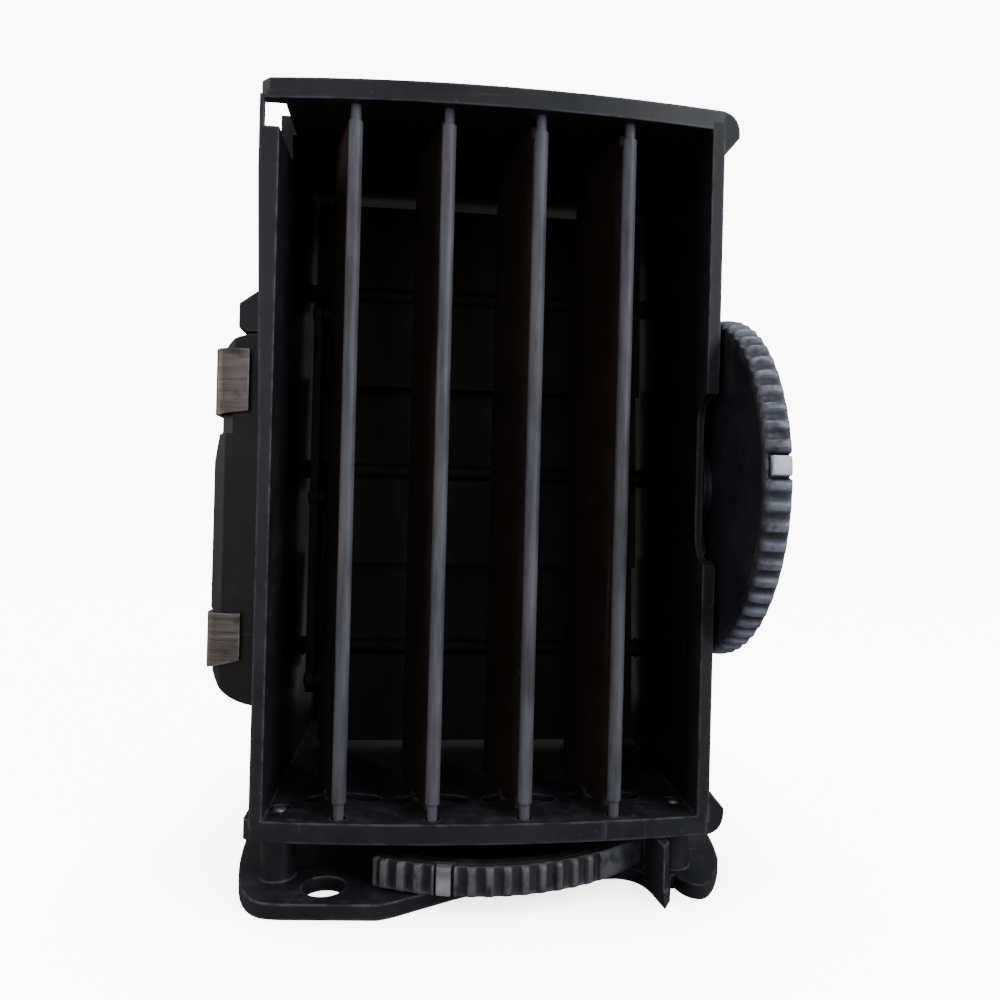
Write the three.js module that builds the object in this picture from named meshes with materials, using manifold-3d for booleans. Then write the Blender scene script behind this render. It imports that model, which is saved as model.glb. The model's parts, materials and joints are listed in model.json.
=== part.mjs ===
// Dashboard air vent: a rectangular duct with four upright fins, a row of shut-off vanes behind them,
// a thumbwheel on the right wall that works the vanes and a thumb sector underneath that turns the fins.
// Millimetres. X to the right, Y into the duct, Z up. Parts are laid out about the centre of the front
// opening, and the finished group is moved so that its bounding box's bottom centre is the origin.
import * as THREE from "three";
import { mergeVertices } from "three/addons/utils/BufferGeometryUtils.js";
import Module from "manifold-3d";

const wasm = await Module();
wasm.setup();

// ---- driving dimensions -------------------------------------------------------------------------
const GAP = 0.3; // clearance between neighbouring pieces
const HALF_HEIGHT = 50; // front frame, top to bottom 100
const PLATE = 2.7; // top and bottom plates
const WALL = 1.7; // side walls
const DUCT_LEFT = -30.1; // outer faces of the side walls
const DUCT_RIGHT = 31.8;
const LIP_LEFT = -31; // ends of the front lips
const LIP_RIGHT = 34.1;
const LIP_DEPTH = 12;
const BOW = 2.1; // fall-back of the front edge at BOW_SPAN from the middle
const BOW_SPAN = 31;
const DUCT_DEPTH = 56;
const WALL_FRONT = 2;

const FIN_PITCH = 12.4;
const FIN_COUNT = 4;
const FIN_CHORD = 15.5;
const FIN_BLADE = 1;
const FIN_SETBACK = 2.1; // nose axis behind the front edge
const NOSE_RADIUS = 0.95;
const FIN_PIVOT_RADIUS = 0.7;
const FIN_CRANK = 8; // crank pin behind the nose axis
const FIN_PIN_RADIUS = 0.9;
const FIN_REST = 15; // degrees from straight
const FIN_SWING = 30;

const SECTOR_X = 1.4; // pivot of the thumb sector
const SECTOR_Y = 30.8;
const SECTOR_RADIUS = 32.8;
const SECTOR_RATIO = 1.4; // fin degrees per sector degree
const SECTOR_PIN_RADIUS = 1.2;
const SECTOR_FLOOR = -56.1;
const SECTOR_TOP = -52.2;
const KNURL_PITCH = 4.2; // degrees
const KNURL_DEPTH = 0.75;

const BRACKET_TOP = -56.4;
const BRACKET_PLATE = 2;

const WHEEL_Y = 12; // axle of the thumbwheel
const WHEEL_Z = -1.9;
const WHEEL_RADIUS = 24.6;
const WHEEL_FACE = 32.5; // side of the rim that faces the wall
const WHEEL_WIDTH = 3.4;
const WHEEL_KNURLS = 60;
const WHEEL_DISH = 20; // shallow dish in the outer side
const AXLE_RADIUS = 2.6;
const AXLE_END = 34.6;
const POCKET_FACE = 31.1; // bottom of the shallow pocket in the right wall

const VANE_Y = 36; // shafts of the shut-off vanes
const VANE_PITCH = 30.4;
const VANE_HALF_CHORD = 16;
const VANE_THICK = 1.3;
const VANE_SHUT = 85; // degrees from level
const VANE_CRANK = 7;
const VANE_SHAFT_RADIUS = 1.5;
const GEAR_TEETH = 20;
const GEAR_ADDENDUM = 1;
const GEAR_DEDENDUM = 1.3;
const GEAR_THICK = 0.8;

const RAIL_FRONT = 12;
const RAIL_BACK = 25;
const RAIL_TOP = 18;
const RAIL_BOTTOM = -35;
const CLIP_SHEET = 0.6;

// ---- derived values -----------------------------------------------------------------------------
const INNER_LEFT = DUCT_LEFT + WALL;
const INNER_RIGHT = DUCT_RIGHT - WALL;
const INNER_HALF = HALF_HEIGHT - PLATE;
const BRACKET_FLOOR = BRACKET_TOP - BRACKET_PLATE;
const LINK_TOP = -HALF_HEIGHT - 0.4;
const LINK_FLOOR = SECTOR_TOP + 0.4;
const SECTOR_REST = -FIN_REST / SECTOR_RATIO;
const SECTOR_CRANK = FIN_CRANK * SECTOR_RATIO;
const WHEEL_OUTER = WHEEL_FACE + WHEEL_WIDTH;
const GEAR_RADIUS = Math.hypot(VANE_Y - WHEEL_Y, WHEEL_Z) / 2;
const GEAR_STEP = 360 / GEAR_TEETH;
const GEAR_FACE = POCKET_FACE + GAP;
// Slope of the line from the wheel's axle up to the middle vane's shaft.
const GEAR_TILT = THREE.MathUtils.radToDeg(Math.atan2(-WHEEL_Z, VANE_Y - WHEEL_Y));
const VANE_MID = VANE_SHUT / 2;

const plastic = new THREE.Color("#17181c");
const moving = new THREE.Color("#1e2025");
const clipMetal = new THREE.Color("#63594f");
const steel = new THREE.Color("#8d9094");
const markWhite = new THREE.Color("#d5d8dd");
const foam = new THREE.Color("#26262a");

const rad = THREE.MathUtils.degToRad;
const bowAt = (x) => BOW * (x / BOW_SPAN) ** 2;
const finX = (i) => (i - (FIN_COUNT - 1) / 2) * FIN_PITCH;
const finY = (i) => FIN_SETBACK + bowAt(finX(i));
const vaneZ = (k) => k * VANE_PITCH;

// ---- solids -------------------------------------------------------------------------------------
function solid(geometry) {
  const bare = geometry.index ? geometry.toNonIndexed() : geometry.clone();
  bare.deleteAttribute("normal");
  bare.deleteAttribute("uv");
  const merged = mergeVertices(bare, 1e-4);
  return new wasm.Manifold(new wasm.Mesh({
    numProp: 3,
    vertProperties: new Float32Array(merged.attributes.position.array),
    triVerts: new Uint32Array(merged.index.array),
  }));
}

function geometryOf(body) {
  const mesh = body.getMesh();
  const geometry = new THREE.BufferGeometry();
  geometry.setAttribute("position", new THREE.BufferAttribute(mesh.vertProperties, 3));
  geometry.setIndex(new THREE.BufferAttribute(mesh.triVerts, 1));
  geometry.computeVertexNormals();
  return geometry;
}

const join = (...bodies) => bodies.reduce((sum, body) => sum.add(body));
const cut = (body, ...tools) => tools.reduce((rest, tool) => rest.subtract(tool), body);

function box(x0, x1, y0, y1, z0, z1) {
  const block = new THREE.BoxGeometry(x1 - x0, y1 - y0, z1 - z0);
  block.translate((x0 + x1) / 2, (y0 + y1) / 2, (z0 + z1) / 2);
  return solid(block);
}

function postZ(x, y, radius, z0, z1, sides = 20, topRadius = radius) {
  const post = new THREE.CylinderGeometry(topRadius, radius, z1 - z0, sides);
  post.rotateX(Math.PI / 2);
  post.translate(x, y, (z0 + z1) / 2);
  return solid(post);
}

function postX(y, z, radius, x0, x1, sides = 20) {
  const post = new THREE.CylinderGeometry(radius, radius, x1 - x0, sides);
  post.rotateZ(-Math.PI / 2);
  post.translate((x0 + x1) / 2, y, z);
  return solid(post);
}

function extrude(shape, depth) {
  return new THREE.ExtrudeGeometry(shape, { depth, bevelEnabled: false, curveSegments: 10, steps: 1 });
}

function slabZ(shape, z0, z1) {
  return solid(extrude(shape, z1 - z0).translate(0, 0, z0));
}

// The shape's own x and y run along Y and Z.
function slabX(shape, x0, x1) {
  const turn = new THREE.Matrix4().set(0, 0, 1, x0, 1, 0, 0, 0, 0, 1, 0, 0, 0, 0, 0, 1);
  return solid(extrude(shape, x1 - x0).applyMatrix4(turn));
}

// The shape's own x and y run along X and Z.
function slabY(shape, y0, y1) {
  const turn = new THREE.Matrix4().set(1, 0, 0, 0, 0, 0, -1, y1, 0, 1, 0, 0, 0, 0, 0, 1);
  return solid(extrude(shape, y1 - y0).applyMatrix4(turn));
}

function polygon(points) {
  return new THREE.Shape(points.map(([x, y]) => new THREE.Vector2(x, y)));
}

function roundedRect(x0, x1, y0, y1, r) {
  const shape = new THREE.Shape();
  shape.moveTo(x0 + r, y0);
  shape.lineTo(x1 - r, y0);
  shape.absarc(x1 - r, y0 + r, r, -Math.PI / 2, 0);
  shape.absarc(x1 - r, y1 - r, r, 0, Math.PI / 2);
  shape.absarc(x0 + r, y1 - r, r, Math.PI / 2, Math.PI);
  shape.absarc(x0 + r, y0 + r, r, Math.PI, 1.5 * Math.PI);
  return shape;
}

// A slot of the given half width along a straight line from one point to another.
function slot(x0, y0, x1, y1, halfWidth) {
  const along = Math.atan2(y1 - y0, x1 - x0);
  const shape = new THREE.Shape();
  shape.absarc(x1, y1, halfWidth, along - Math.PI / 2, along + Math.PI / 2);
  shape.absarc(x0, y0, halfWidth, along + Math.PI / 2, along + 1.5 * Math.PI);
  return shape;
}

// A band along an arc about a centre, with angles in degrees from the Y axis towards -X.
function arcSlot(cx, cy, radius, halfWidth, from, to) {
  const a = rad(90 + from);
  const b = rad(90 + to);
  const shape = new THREE.Shape();
  shape.absarc(cx, cy, radius + halfWidth, a, b);
  shape.absarc(cx + radius * Math.cos(b), cy + radius * Math.sin(b), halfWidth, b, b + Math.PI);
  shape.absarc(cx, cy, radius - halfWidth, b, a, true);
  shape.absarc(cx + radius * Math.cos(a), cy + radius * Math.sin(a), halfWidth, a + Math.PI, a + 2 * Math.PI);
  return shape;
}

const vent = new THREE.Group();

function place(name, body, color, roughness = 0.55, metalness = 0) {
  const material = new THREE.MeshStandardMaterial({ color, roughness, metalness });
  const mesh = new THREE.Mesh(geometryOf(body), material);
  mesh.name = name;
  vent.add(mesh);
  return mesh;
}

// ---- housing ------------------------------------------------------------------------------------
// Plate outline: a bowed front edge with an eased left corner.
function lipOutline() {
  const ease = 1.2;
  const shape = new THREE.Shape();
  shape.moveTo(LIP_LEFT, bowAt(LIP_LEFT) + ease);
  shape.lineTo(LIP_LEFT + ease, bowAt(LIP_LEFT));
  shape.quadraticCurveTo(0, -bowAt(LIP_LEFT), DUCT_RIGHT, bowAt(DUCT_RIGHT));
  shape.lineTo(DUCT_RIGHT, DUCT_DEPTH);
  shape.lineTo(DUCT_LEFT, DUCT_DEPTH);
  shape.lineTo(DUCT_LEFT, LIP_DEPTH);
  shape.lineTo(LIP_LEFT, LIP_DEPTH - 1);
  return shape;
}

// Wedge-shaped end of a lip on the right wall, seen from the front; side is 1 at the top, -1 below.
function lipEnd(side) {
  const outline = new THREE.Shape();
  outline.moveTo(DUCT_RIGHT - 0.5, side * (HALF_HEIGHT - 6.2));
  outline.lineTo(DUCT_RIGHT, side * (HALF_HEIGHT - 6.2));
  outline.lineTo(LIP_RIGHT - 0.1, side * (HALF_HEIGHT - 3.6));
  outline.quadraticCurveTo(LIP_RIGHT + 0.1, side * (HALF_HEIGHT - 0.6), DUCT_RIGHT, side * HALF_HEIGHT);
  outline.lineTo(DUCT_RIGHT - 0.5, side * HALF_HEIGHT);
  return slabY(outline, bowAt(DUCT_RIGHT) + 0.1, LIP_DEPTH);
}

const bracketPosts = [
  [-26.9, 6.6],
  [28.6, 7.9],
  [-23, 46],
  [25, 46],
];
const POST_RADIUS = 2.4;
const SCREW_RADIUS = 1.1;

const railScrews = [-3.5, -13.5];
const RAIL_SCREW_Y = 19;

function housingShell() {
  return join(
    slabZ(lipOutline(), INNER_HALF, HALF_HEIGHT),
    slabZ(lipOutline(), -HALF_HEIGHT, -INNER_HALF),
    box(DUCT_LEFT, INNER_LEFT, WALL_FRONT, DUCT_DEPTH, -INNER_HALF - 1, INNER_HALF + 1),
    box(INNER_RIGHT, DUCT_RIGHT, WALL_FRONT, DUCT_DEPTH, -INNER_HALF - 1, INNER_HALF + 1),
    lipEnd(1),
    lipEnd(-1),
  );
}

// Round pocket behind the thumbwheel and its gear, kept behind a narrow front strip of full thickness.
function wheelPocket() {
  const stripBack = 3.6;
  const disc = postX(WHEEL_Y, WHEEL_Z, WHEEL_RADIUS + 1, POCKET_FACE, DUCT_RIGHT + 1, 48);
  const gearRoom = postX(VANE_Y, 0, GEAR_RADIUS + GEAR_ADDENDUM + 0.9, POCKET_FACE, DUCT_RIGHT + 1, 32);
  const strip = box(POCKET_FACE - 1, DUCT_RIGHT + 2, -20, stripBack, -40, 40);
  return cut(join(disc, gearRoom), strip);
}

function frontScallop() {
  return slabX(slot(WALL_FRONT - 0.4, -8.8, WALL_FRONT - 0.4, 6.8, 4), INNER_RIGHT - 1, DUCT_RIGHT + 1);
}

// Opening in the top left corner, behind a thin front skin: through the wall, the top plate and the lip.
const WINDOW_FLOOR = 43.6;
const WINDOW_BACK = 12.6;
const SKIN_INNER = LIP_LEFT + 0.6;
const SKIN_BACK = 2.9;
const PLATE_CUT_FRONT = 3.5;

function cornerWindow() {
  const inner = INNER_LEFT + 0.5;
  return join(
    box(SKIN_INNER, inner, -1, WINDOW_BACK, WINDOW_FLOOR, INNER_HALF),
    box(LIP_LEFT - 1, inner, SKIN_BACK, WINDOW_BACK, WINDOW_FLOOR, INNER_HALF),
    box(LIP_LEFT - 1, inner, PLATE_CUT_FRONT, WINDOW_BACK, WINDOW_FLOOR, HALF_HEIGHT + 1),
  );
}

// The left wall's front edge swells outward towards the top lip.
function cornerFlare() {
  const side = polygon([
    [DUCT_LEFT + 0.5, 4],
    [DUCT_LEFT, 4],
    [LIP_LEFT, 38],
    [LIP_LEFT, INNER_HALF + 0.5],
    [DUCT_LEFT + 0.5, INNER_HALF + 0.5],
  ]);
  return slabY(side, WALL_FRONT, LIP_DEPTH - 1);
}

// Bevelled lug on the left wall, above the rail.
function wallLug() {
  const face = polygon([
    [DUCT_LEFT + 0.5, 18.8],
    [-34.9, 18.8],
    [-35.4, 19.4],
    [-35.4, 22.8],
    [-32.8, 24.7],
    [DUCT_LEFT + 0.5, 24.7],
  ]);
  return slabY(face, 13, 19);
}

function housing() {
  let body = join(housingShell(), cornerFlare(), wallLug());
  body = cut(body, wheelPocket(), frontScallop(), cornerWindow());
  body = join(body, postX(WHEEL_Y, WHEEL_Z, AXLE_RADIUS, POCKET_FACE - 0.5, AXLE_END, 24));
  body = cut(body, postX(WHEEL_Y, WHEEL_Z, SCREW_RADIUS + 0.1, INNER_RIGHT + 0.6, AXLE_END + 1, 16));
  for (let i = 0; i < FIN_COUNT; i += 1) {
    const hole = postZ(finX(i), finY(i), FIN_PIVOT_RADIUS + GAP, -HALF_HEIGHT - 1, HALF_HEIGHT + 1, 14);
    const path = arcSlot(finX(i), finY(i), FIN_CRANK, FIN_PIN_RADIUS + 0.35, -FIN_SWING, FIN_SWING);
    body = cut(body, hole, slabZ(path, -HALF_HEIGHT - 1, -INNER_HALF + 1));
  }
  for (const k of [-1, 0, 1]) {
    body = cut(body, postX(VANE_Y, vaneZ(k), VANE_SHAFT_RADIUS + GAP, DUCT_LEFT - 1, DUCT_RIGHT + 1, 18));
  }
  for (const [x, y] of bracketPosts) {
    body = cut(body, postZ(x, y, SCREW_RADIUS + GAP, -HALF_HEIGHT - 1, -INNER_HALF + 1, 14));
  }
  for (const z of railScrews) {
    body = cut(body, postX(RAIL_SCREW_Y, z, SCREW_RADIUS + GAP, DUCT_LEFT - 1, INNER_LEFT + 1, 14));
  }
  return body;
}

// ---- rear collar and seal -----------------------------------------------------------------------
const COLLAR_INSET = 1.2;
const COLLAR_WALL = 1.5;
const COLLAR_BACK = 67;

function frameRing(inset, wall, y0, y1) {
  const outer = box(DUCT_LEFT + inset, DUCT_RIGHT - inset, y0, y1, -HALF_HEIGHT + inset, HALF_HEIGHT - inset);
  const side = inset + wall;
  const halfHeight = HALF_HEIGHT - side;
  const inner = box(DUCT_LEFT + side, DUCT_RIGHT - side, y0 - 1, y1 + 1, -halfHeight, halfHeight);
  return cut(outer, inner);
}

function rearCollar() {
  const flange = frameRing(0, COLLAR_INSET + COLLAR_WALL + 1, DUCT_DEPTH + GAP, DUCT_DEPTH + 2.3);
  const sleeve = frameRing(COLLAR_INSET, COLLAR_WALL + 0.2, DUCT_DEPTH + 1, COLLAR_BACK);
  const spigotX = WALL + GAP;
  const spigotZ = PLATE + GAP;
  const spigot = cut(
    box(DUCT_LEFT + spigotX, DUCT_RIGHT - spigotX, DUCT_DEPTH - 3, DUCT_DEPTH + 1,
      -HALF_HEIGHT + spigotZ, HALF_HEIGHT - spigotZ),
    box(DUCT_LEFT + spigotX + 1.2, DUCT_RIGHT - spigotX - 1.2, DUCT_DEPTH - 4, DUCT_DEPTH + 3,
      -HALF_HEIGHT + spigotZ + 1.2, HALF_HEIGHT - spigotZ - 1.2),
  );
  return join(flange, sleeve, spigot);
}

function foamSeal() {
  const thick = 2.2;
  return frameRing(COLLAR_INSET - GAP - thick, thick, DUCT_DEPTH + 2.6, COLLAR_BACK - 2);
}

// ---- fins ---------------------------------------------------------------------------------------
// Built about the nose axis, straight, with the blade behind it.
function fin() {
  const noseHalf = INNER_HALF - 2;
  const bladeHalf = INNER_HALF - 0.5;
  const step = 1.9;
  const corner = 1.2;
  const outline = polygon([
    [0, -noseHalf],
    [step, -noseHalf],
    [step, -bladeHalf],
    [FIN_CHORD - corner, -bladeHalf],
    [FIN_CHORD, -bladeHalf + corner],
    [FIN_CHORD, bladeHalf - corner],
    [FIN_CHORD - corner, bladeHalf],
    [step, bladeHalf],
    [step, noseHalf],
    [0, noseHalf],
  ]);
  return join(
    slabX(outline, -FIN_BLADE / 2, FIN_BLADE / 2),
    postZ(0, 0, NOSE_RADIUS, -noseHalf, noseHalf, 16),
    postZ(0, 0, FIN_PIVOT_RADIUS, -HALF_HEIGHT + 0.5, HALF_HEIGHT - 0.5, 12),
    postZ(0, FIN_CRANK, FIN_PIN_RADIUS, LINK_FLOOR + 0.1, -bladeHalf + 0.5, 14),
  );
}

// ---- fin link bar -------------------------------------------------------------------------------
function finPin(i) {
  return [finX(i) - FIN_CRANK * Math.sin(rad(FIN_REST)), finY(i) + FIN_CRANK * Math.cos(rad(FIN_REST))];
}

function finLinkBar() {
  const eye = 2.3;
  const half = 1.5;
  const slotX = SECTOR_X - FIN_CRANK * Math.sin(rad(FIN_REST));
  const pinY = SECTOR_Y - SECTOR_CRANK * Math.cos(rad(SECTOR_REST));
  const slotHalf = SECTOR_PIN_RADIUS + 0.35;
  let bar = slabZ(roundedRect(slotX - 3, slotX + 3, 8.4, pinY + 4.2, 1.6), LINK_FLOOR, LINK_TOP);
  for (let i = 0; i < FIN_COUNT; i += 1) {
    bar = join(bar, postZ(...finPin(i), eye, LINK_FLOOR, LINK_TOP));
    if (i > 0) {
      bar = join(bar, slabZ(slot(...finPin(i - 1), ...finPin(i), half), LINK_FLOOR, LINK_TOP));
    }
  }
  for (let i = 0; i < FIN_COUNT; i += 1) {
    bar = cut(bar, postZ(...finPin(i), FIN_PIN_RADIUS + GAP, LINK_FLOOR - 1, LINK_TOP + 1, 16));
  }
  return cut(bar, slabZ(slot(slotX, pinY - 0.7, slotX, pinY + 1.6, slotHalf), LINK_FLOOR - 1, LINK_TOP + 1));
}

// ---- thumb sector -------------------------------------------------------------------------------
const SECTOR_LEFT_END = -17.3; // degrees from the index mark
const SECTOR_RIGHT_END = 54.7;
const SECTOR_KNURL_END = 39;
const MARK_HALF = 1;
const MARK_DEPTH = 1.3;

// Point at a radius and an angle in degrees from the front, towards +X.
const frontPolar = (r, a) => [r * Math.sin(rad(a)), -r * Math.cos(rad(a))];

function knurlPoints(radius, depth, from, to, pitch, polar) {
  const points = [];
  const count = Math.round((to - from) / pitch);
  for (let n = 0; n < count; n += 1) {
    const a = from + n * pitch;
    points.push(polar(radius - depth, a), polar(radius, a + pitch * 0.22));
    points.push(polar(radius, a + pitch * 0.62), polar(radius - depth, a + pitch * 0.84));
  }
  return points;
}

function arcPoints(radius, from, to, steps, polar) {
  return Array.from({ length: steps + 1 }, (_, n) => polar(radius, from + ((to - from) * n) / steps));
}

function sectorWindow(from, to) {
  return polygon([
    ...arcPoints(27, from, to, 8, frontPolar),
    ...arcPoints(15.5, to - 2, from + 2, 5, frontPolar),
  ]);
}

function thumbSector() {
  const knurlStart = SECTOR_LEFT_END + 1;
  const rim = polygon([
    frontPolar(SECTOR_RADIUS - KNURL_DEPTH, SECTOR_LEFT_END),
    ...knurlPoints(SECTOR_RADIUS, KNURL_DEPTH, knurlStart, SECTOR_KNURL_END, KNURL_PITCH, frontPolar),
    ...arcPoints(SECTOR_RADIUS - 0.3, SECTOR_KNURL_END, SECTOR_RIGHT_END, 5, frontPolar),
    ...arcPoints(SECTOR_RADIUS - 3, SECTOR_RIGHT_END, SECTOR_LEFT_END, 18, frontPolar),
  ]);
  const webEdge = arcPoints(SECTOR_RADIUS - 2, SECTOR_LEFT_END, SECTOR_RIGHT_END, 18, frontPolar);
  const web = polygon([[0, 6], ...webEdge]);
  const webTop = SECTOR_FLOOR + 1.6;
  const body = join(
    slabZ(rim, SECTOR_FLOOR, SECTOR_TOP),
    slabZ(web, SECTOR_FLOOR, webTop),
    postZ(0, 0, 4.4, SECTOR_FLOOR, SECTOR_TOP - 0.1, 24),
    postZ(0, -SECTOR_CRANK, SECTOR_PIN_RADIUS, webTop - 0.5, LINK_TOP, 16),
  );
  const pocket = SECTOR_RADIUS - MARK_DEPTH - GAP;
  return cut(
    body,
    postZ(0, 0, 2 + GAP, SECTOR_FLOOR - 1, SECTOR_TOP + 1, 20),
    slabZ(sectorWindow(-11, 12), SECTOR_FLOOR - 1, webTop + 0.2),
    slabZ(sectorWindow(18, 44), SECTOR_FLOOR - 1, webTop + 0.2),
    box(-MARK_HALF - GAP, MARK_HALF + GAP, -SECTOR_RADIUS - 1, -pocket, SECTOR_FLOOR - 1, SECTOR_TOP + 1),
  );
}

function sectorMark() {
  const outer = SECTOR_RADIUS - 0.05;
  return box(-MARK_HALF, MARK_HALF, -outer, -outer + MARK_DEPTH, SECTOR_FLOOR, SECTOR_TOP);
}

function sectorPivotPin() {
  return join(
    postZ(0, 0, 4, BRACKET_FLOOR, BRACKET_FLOOR + 1.1, 24),
    postZ(0, 0, 2, BRACKET_FLOOR + 1, LINK_TOP - 0.3, 20),
  );
}

function sectorClip() {
  const ring = postZ(0, 0, 3.7, SECTOR_TOP + GAP, SECTOR_TOP + 0.9, 24);
  const gapInRing = box(-1, 1, 0, 5, SECTOR_TOP, SECTOR_TOP + 2);
  return cut(ring, postZ(0, 0, 2.3, SECTOR_TOP, SECTOR_TOP + 2, 20), gapInRing);
}

// ---- lower bracket ------------------------------------------------------------------------------
const TAB_HOLE = [-20.3, 3.1];
const TAB_HOLE_RADIUS = 2.9;

function bracketOutline() {
  const shape = new THREE.Shape();
  shape.moveTo(-33.6, 18);
  shape.bezierCurveTo(-33, 9, -31.6, 1, -28, -0.9);
  shape.quadraticCurveTo(-26.5, -1.5, -24, -1.6);
  shape.lineTo(-13.2, -2.3);
  shape.quadraticCurveTo(-12, -2.2, -9.8, -1);
  shape.lineTo(-3, 2.6);
  shape.quadraticCurveTo(8, 7.6, 20.4, 7.6);
  shape.quadraticCurveTo(24, 7, 24.4, 2.2);
  shape.lineTo(24.9, -1.2);
  shape.lineTo(26.3, 1);
  shape.lineTo(27.4, 4.4);
  shape.lineTo(28, 4.4);
  shape.quadraticCurveTo(28.6, 1.4, 30.6, 1.2);
  shape.quadraticCurveTo(32.6, 1.4, 35.9, 8.8);
  shape.quadraticCurveTo(37.6, 15, 37.9, 22);
  shape.lineTo(30, 50);
  shape.lineTo(-28, 50);
  return shape;
}

// Upright web that joins the fork's spike to the underside of the duct.
function forkWeb() {
  return polygon([[23.9, 5], [24.5, 1.2], [24.8, -0.7], [25.9, 0.8], [25.6, 4.6]]);
}

// Curved guard just outside the sector's rim, from the fork to the right front post.
function sectorGuard() {
  const inner = SECTOR_RADIUS + 0.5;
  const from = 42.5;
  const to = 60;
  const points = [
    ...arcPoints(inner + 1.2, from, to, 5, frontPolar),
    ...arcPoints(inner, to, from, 5, frontPolar),
  ];
  return polygon(points.map(([x, y]) => [x + SECTOR_X, y + SECTOR_Y]));
}

function lowerBracket() {
  const top = -HALF_HEIGHT - GAP;
  let body = join(
    slabZ(bracketOutline(), BRACKET_FLOOR, BRACKET_TOP),
    slabZ(forkWeb(), BRACKET_FLOOR + 1, top),
    slabZ(sectorGuard(), BRACKET_FLOOR + 1, top),
  );
  for (const [x, y] of bracketPosts) {
    body = join(body, postZ(x, y, POST_RADIUS, BRACKET_FLOOR + 1, -HALF_HEIGHT - GAP, 20));
  }
  for (const [x, y] of bracketPosts) {
    const seat = postZ(x, y, 2.2 + GAP, BRACKET_FLOOR - 0.01, BRACKET_FLOOR + 1.3, 16, SCREW_RADIUS + GAP);
    body = cut(body, postZ(x, y, SCREW_RADIUS + GAP, BRACKET_FLOOR - 1, -HALF_HEIGHT, 14), seat);
  }
  return cut(
    body,
    postZ(...TAB_HOLE, TAB_HOLE_RADIUS, BRACKET_FLOOR - 1, BRACKET_TOP + 1, 28),
    postZ(SECTOR_X, SECTOR_Y, 2 + GAP, BRACKET_FLOOR - 1, BRACKET_TOP + 1, 20),
    postZ(SECTOR_X, SECTOR_Y, 4 + GAP, BRACKET_FLOOR - 1, BRACKET_FLOOR + 1.1 + GAP, 24),
    slabZ(roundedRect(-12, 14, 38.5, 46.5, 3), BRACKET_FLOOR - 1, BRACKET_TOP + 1),
  );
}

function bracketScrew() {
  return join(
    postZ(0, 0, 2.2, BRACKET_FLOOR + 0.1, BRACKET_FLOOR + 1.3, 16, SCREW_RADIUS),
    postZ(0, 0, SCREW_RADIUS, BRACKET_FLOOR + 0.6, -INNER_HALF + 0.2, 12),
  );
}

// ---- thumbwheel ---------------------------------------------------------------------------------
// Built about its axle in the YZ plane; the index mark lies at the front.
const backPolar = (r, a) => [r * Math.cos(rad(a)), r * Math.sin(rad(a))];

function gearTooth(centre) {
  const tip = 0.5;
  const pitchHalf = 0.78;
  const root = 1.05;
  const side = (half, r) => (half / r) * (180 / Math.PI);
  const low = GEAR_RADIUS - GEAR_DEDENDUM - 0.5;
  const high = GEAR_RADIUS + GEAR_ADDENDUM;
  return polygon([
    backPolar(low, centre - side(root, low)),
    backPolar(GEAR_RADIUS, centre - side(pitchHalf, GEAR_RADIUS)),
    backPolar(high, centre - side(tip, high)),
    backPolar(high, centre + side(tip, high)),
    backPolar(GEAR_RADIUS, centre + side(pitchHalf, GEAR_RADIUS)),
    backPolar(low, centre + side(root, low)),
  ]);
}

// Teeth of the wheel's gear stand in the gaps of the vane gear at rest.
const VANE_GEAR_CENTRE = 180 + VANE_MID + GEAR_TILT;
const WHEEL_GEAR_PHASE = 180 - VANE_GEAR_CENTRE + GEAR_STEP / 2 + 2 * GEAR_TILT;

// Only the stretch of teeth that meets the vane gear over the wheel's travel.
function wheelGear() {
  const spare = 30;
  const from = -VANE_SHUT - spare;
  const to = spare;
  const root = GEAR_RADIUS - GEAR_DEDENDUM;
  const fan = polygon([[0, 0], ...arcPoints(root, from, to, 14, backPolar)]);
  let gear = slabX(fan, GEAR_FACE, WHEEL_FACE + 0.5);
  const first = Math.ceil((from - WHEEL_GEAR_PHASE) / GEAR_STEP);
  const last = Math.floor((to - WHEEL_GEAR_PHASE) / GEAR_STEP);
  for (let n = first; n <= last; n += 1) {
    gear = join(gear, slabX(gearTooth(WHEEL_GEAR_PHASE + n * GEAR_STEP), GEAR_FACE, WHEEL_FACE + 0.5));
  }
  return gear;
}

const WHEEL_MARK_LIFT = 5.6; // degrees above level
const WHEEL_MARK_HALF = 1.25;
const WHEEL_MARK_LEFT = WHEEL_FACE + 0.9;
const WHEEL_HUB = 6;
const DISH_DEPTH = 0.9;
const HEAD_ROOM = 4.9; // sunk seat for the washer

function thumbwheel() {
  const pitch = 360 / WHEEL_KNURLS;
  const start = 180 - pitch * 0.42;
  const rimOutline = polygon(knurlPoints(WHEEL_RADIUS, KNURL_DEPTH, start, start + 360, pitch, backPolar));
  const bed = WHEEL_RADIUS - MARK_DEPTH - GAP;
  const half = WHEEL_MARK_HALF + GAP;
  const markRoom = box(WHEEL_MARK_LEFT - GAP, WHEEL_OUTER + 1, -WHEEL_RADIUS - 1, -bed, -half, half);
  const rim = cut(slabX(rimOutline, WHEEL_FACE, WHEEL_OUTER), markRoom).rotate([-WHEEL_MARK_LIFT, 0, 0]);
  const dish = cut(
    postX(0, 0, WHEEL_DISH, WHEEL_OUTER - DISH_DEPTH, WHEEL_OUTER + 1, 40),
    postX(0, 0, WHEEL_HUB + 0.4, WHEEL_OUTER - 1, WHEEL_OUTER + 2, 28),
  );
  return cut(
    join(rim, postX(0, 0, WHEEL_HUB, GEAR_FACE, WHEEL_FACE + 1, 28), wheelGear()),
    dish,
    postX(0, 0, AXLE_RADIUS + GAP, POCKET_FACE - 1, WHEEL_OUTER + 1, 24),
    postX(0, 0, HEAD_ROOM, AXLE_END, WHEEL_OUTER + 1, 28),
  );
}

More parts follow.
